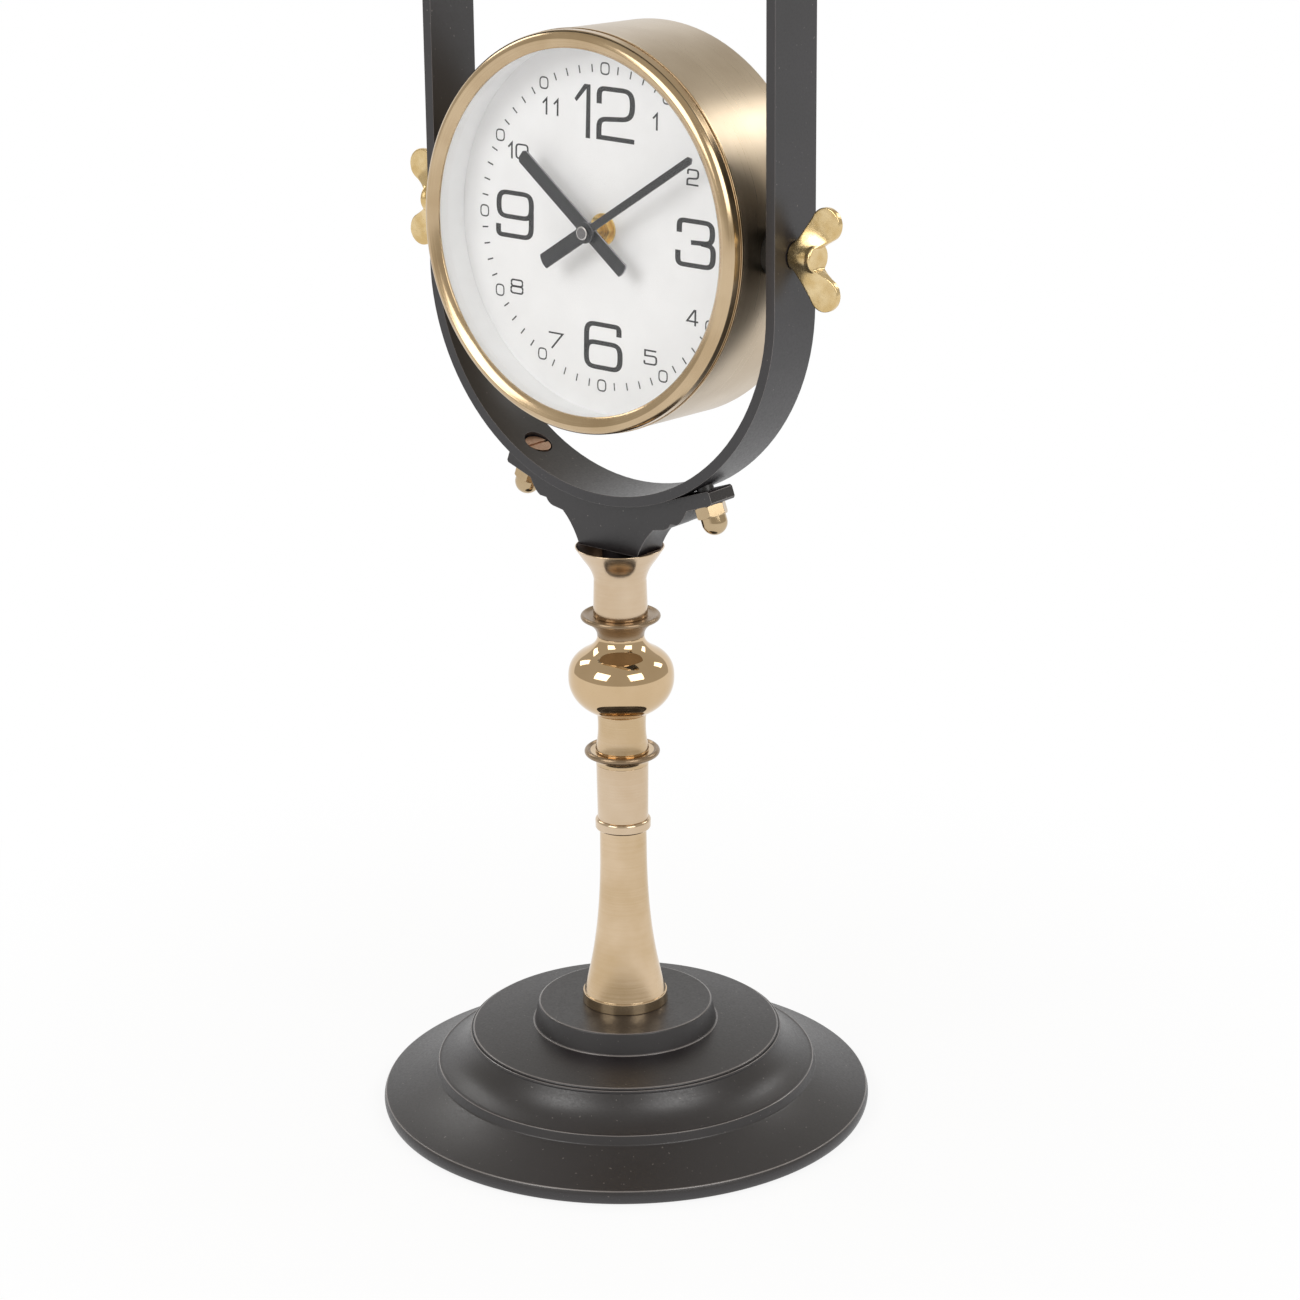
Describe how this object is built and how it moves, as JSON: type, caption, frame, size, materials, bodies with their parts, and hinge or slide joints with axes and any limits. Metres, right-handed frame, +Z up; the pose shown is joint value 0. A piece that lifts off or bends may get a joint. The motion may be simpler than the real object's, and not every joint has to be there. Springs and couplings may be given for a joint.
{
  "type": "table clock on a column stand",
  "caption": "Round drum clock that tilts on wing screws in a tall flat-bar loop, carried by a profiled yoke and cup on a turned brass column with a stepped round base.",
  "frame": {"origin": "On the floor, under the middle of the felt pad, on the axis of the column.", "axes": "+Z is up along the column. The dial faces -Y and leans back 2.1 degrees. +X is to the right of somebody who faces the dial, along the pivots."},
  "size_m": [0.2502, 0.2352, 0.6472],
  "materials": {
    "felt": "pressed felt",
    "dark_casting": "satin black-brown lacquer over a fine sand texture",
    "dark_bar": "satin black-brown lacquer with a fine speckle",
    "satin_brass": "fine turned satin brass, lacquered",
    "polished_brass": "polished brass",
    "steel": "zinc-plated steel",
    "case_metal": "champagne-plated steel with a fine grain",
    "bezel_brass": "satin brass with a polished crown",
    "black_nylon": "moulded black nylon",
    "clear_glass": "flat clear glass",
    "white_plastic": "matt white moulding",
    "dial_paint": "matt white enamel with printed numerals",
    "black_plastic": "moulded black plastic",
    "rubber_gasket": "soft rubber",
    "gilt_brass": "bright gilt brass",
    "battery_sleeve": "plain film sleeve",
    "black_lacquer": "satin black lacquer"
  },
  "bodies": {
    "stand": {"base_pad": "felt", "base": "dark_casting", "base_washer": "steel", "base_nut": "steel", "tie_rod": "steel", "base_collar": "dark_casting", "column_foot": "satin_brass", "column_ring": "satin_brass", "column_tube": "satin_brass", "lower_disc": "satin_brass", "ball": "polished_brass", "upper_disc": "satin_brass", "cup": "satin_brass", "yoke": "dark_casting", "loop": "dark_bar", "yoke_screws": "polished_brass", "dome_nuts": "polished_brass"},
    "clock_head": {"drum": "case_metal", "pivot_bosses": "case_metal", "pivot_spacers": "black_nylon", "bezel": "bezel_brass", "glass": "clear_glass", "white_ring": "white_plastic", "dial": "dial_paint", "rear_cover": "case_metal", "cover_screws": "case_metal", "movement_case": "black_plastic", "movement_cover": "black_plastic", "movement_gasket": "rubber_gasket", "hand_bush": "gilt_brass", "dial_washer": "gilt_brass", "dial_nut": "gilt_brass", "battery": "battery_sleeve", "battery_contacts": "steel"},
    "minute": {"cannon_pinion": "gilt_brass", "minute_hand": "black_lacquer", "hub_cap": "black_lacquer"},
    "hour": {"hour_wheel": "gilt_brass", "hour_hand": "black_lacquer"},
    "minute_wheel": {"minute_wheel": "gilt_brass"},
    "setting": {"setting_knob": "black_plastic"},
    "wing_left": {"wing_screw_left": "polished_brass"},
    "wing_right": {"wing_screw_right": "polished_brass"}
  },
  "joints": [
    {"name": "clock_tilt", "type": "hinge", "parent": "stand", "child": "clock_head", "pos_m": [0, 0, 0.42893], "axis": [1, 0, 0], "continuous": true},
    {"name": "minute_spin", "type": "hinge", "parent": "clock_head", "child": "minute", "pos_m": [0, 0, 0.42893], "axis": [0, -0.9993, 0.0366], "continuous": true},
    {"name": "hour_spin", "type": "hinge", "parent": "clock_head", "child": "hour", "pos_m": [0, 0, 0.42893], "axis": [0, -0.9993, 0.0366], "continuous": true},
    {"name": "minute_wheel_spin", "type": "hinge", "parent": "clock_head", "child": "minute_wheel", "pos_m": [0, 0.00031, 0.43733], "axis": [0, -0.9993, 0.0366], "continuous": true},
    {"name": "setting_spin", "type": "hinge", "parent": "clock_head", "child": "setting", "pos_m": [0, 0.00062, 0.44572], "axis": [0, -0.9993, 0.0366], "continuous": true},
    {"name": "wing_left_turn", "type": "hinge", "parent": "clock_head", "child": "wing_left", "pos_m": [-0.1085, 0, 0.42893], "axis": [-1, 0, 0], "range_deg": [0, 360]},
    {"name": "wing_right_turn", "type": "hinge", "parent": "clock_head", "child": "wing_right", "pos_m": [0.1085, 0, 0.42893], "axis": [1, 0, 0], "range_deg": [0, 360]}
  ],
  "couplings": [
    {"joint": "hour_spin", "follows": "minute_spin", "ratio": 0.083333},
    {"joint": "minute_wheel_spin", "follows": "minute_spin", "ratio": -0.33333},
    {"joint": "setting_spin", "follows": "minute_spin", "ratio": 1}
  ]
}
